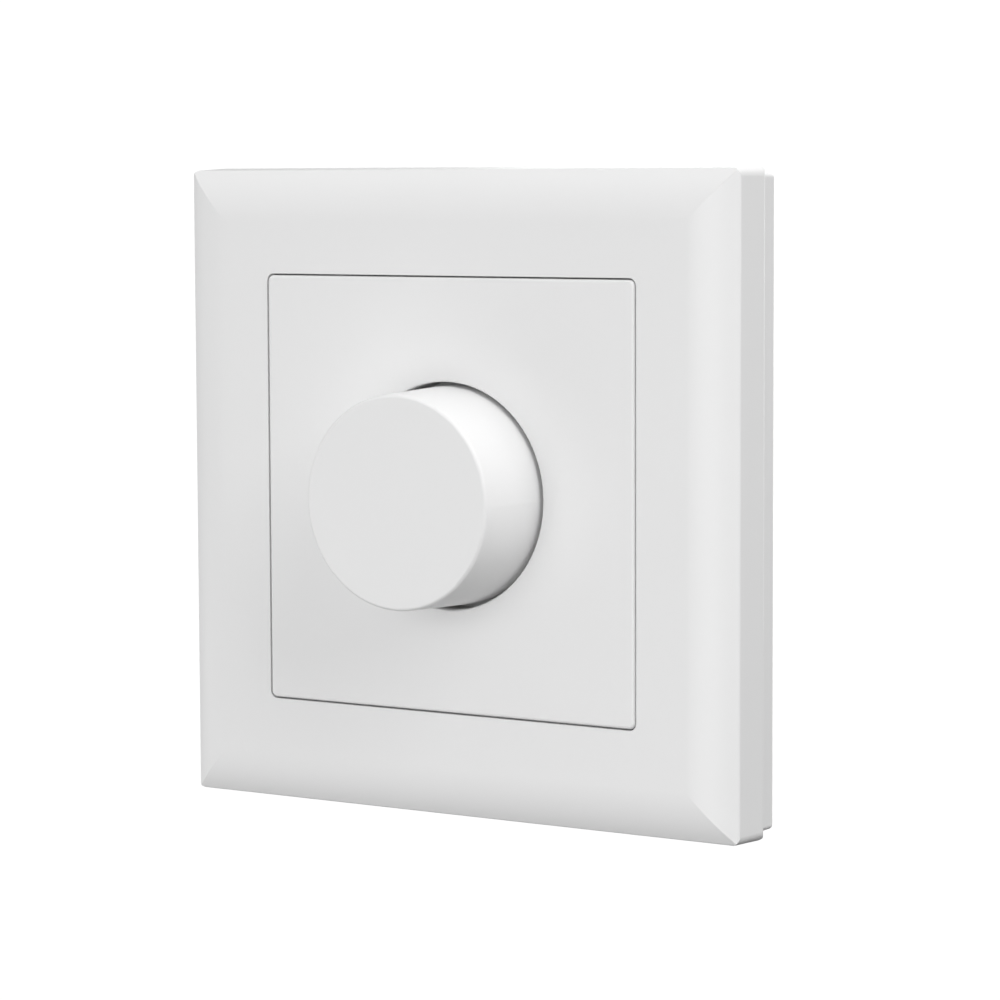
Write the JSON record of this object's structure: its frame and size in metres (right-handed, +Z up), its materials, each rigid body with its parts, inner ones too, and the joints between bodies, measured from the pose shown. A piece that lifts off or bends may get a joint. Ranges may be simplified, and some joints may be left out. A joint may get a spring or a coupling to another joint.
{
  "type": "rotary dimmer switch",
  "caption": "Square flush-mounted wall dimmer with a large round turn-and-push knob on a centre plate, a bevelled frame and a wall-box insert behind.",
  "frame": {"origin": "on the wall plane, midway between the two box screws, at the middle of the frame", "axes": "+X to the right as seen from the room, +Y into the wall, +Z up; the knob faces -Y"},
  "size_m": [0.082, 0.0472, 0.082],
  "materials": {
    "white_moulding": "satin",
    "knob_moulding": "satin",
    "case_moulding": "fine matt",
    "light_moulding": "matt",
    "zinc_plated_steel": "zinc plated",
    "spring_steel": "bright drawn",
    "shaft_metal": "turned",
    "heat_sink_metal": "rolled",
    "brass": "turned",
    "copper_wire": "enamelled",
    "board": "coated",
    "ferrite": "coated",
    "component_black": "moulded",
    "component_blue": "moulded",
    "pad_grey": "matt",
    "glass": "clear"
  },
  "bodies": {
    "insert": {"cover_frame": "white_moulding", "backing_frame": "white_moulding", "centre_plate": "white_moulding", "threaded_bushing": "brass", "fixing_nut": "brass", "lock_washer": "zinc_plated_steel", "support_ring": "zinc_plated_steel", "front_cover": "light_moulding", "case_screws": "zinc_plated_steel", "rear_case": "case_moulding", "heat_sink": "heat_sink_metal", "circuit_board": "board", "potentiometer_case": "zinc_plated_steel", "resistive_track": "component_black", "push_switch_body": "component_black", "return_spring": "spring_steel", "choke_core": "ferrite", "choke_winding": "copper_wire", "filter_capacitor": "component_blue", "smoothing_capacitor": "component_black", "fuse_glass": "glass", "fuse_caps": "zinc_plated_steel", "fuse_clips": "brass", "terminal_block": "light_moulding", "power_switch_left": "component_black", "power_switch_right": "component_black", "insulating_pad_left": "pad_grey", "insulating_pad_right": "pad_grey", "terminal_cage_1": "brass", "terminal_cage_2": "brass", "terminal_cage_3": "brass", "terminal_screw_1": "zinc_plated_steel", "terminal_screw_2": "zinc_plated_steel", "terminal_screw_3": "zinc_plated_steel"},
    "plunger": {"push_plunger": "light_moulding"},
    "knob_and_shaft": {"knob": "knob_moulding", "knob_clamp_ring": "spring_steel", "shaft": "shaft_metal", "shaft_clip": "spring_steel"},
    "rotor": {"potentiometer_rotor": "component_black", "wiper": "brass"}
  },
  "joints": [
    {"name": "push", "type": "slide", "parent": "insert", "child": "plunger", "axis": [0, 1, 0], "range_m": [0, 0.001], "stiffness_N_per_m": 1500, "springref_m": -0.002, "deforming": ["return_spring"]},
    {"name": "knob_turn", "type": "hinge", "parent": "plunger", "child": "knob_and_shaft", "pos_m": [0, 0, 0], "axis": [0, 1, 0], "range_deg": [-150, 150]},
    {"name": "rotor_turn", "type": "hinge", "parent": "insert", "child": "rotor", "pos_m": [0, 0, 0], "axis": [0, 1, 0], "range_deg": [-150, 150]}
  ],
  "couplings": [
    {"joint": "rotor_turn", "follows": "knob_turn", "ratio": 1}
  ]
}
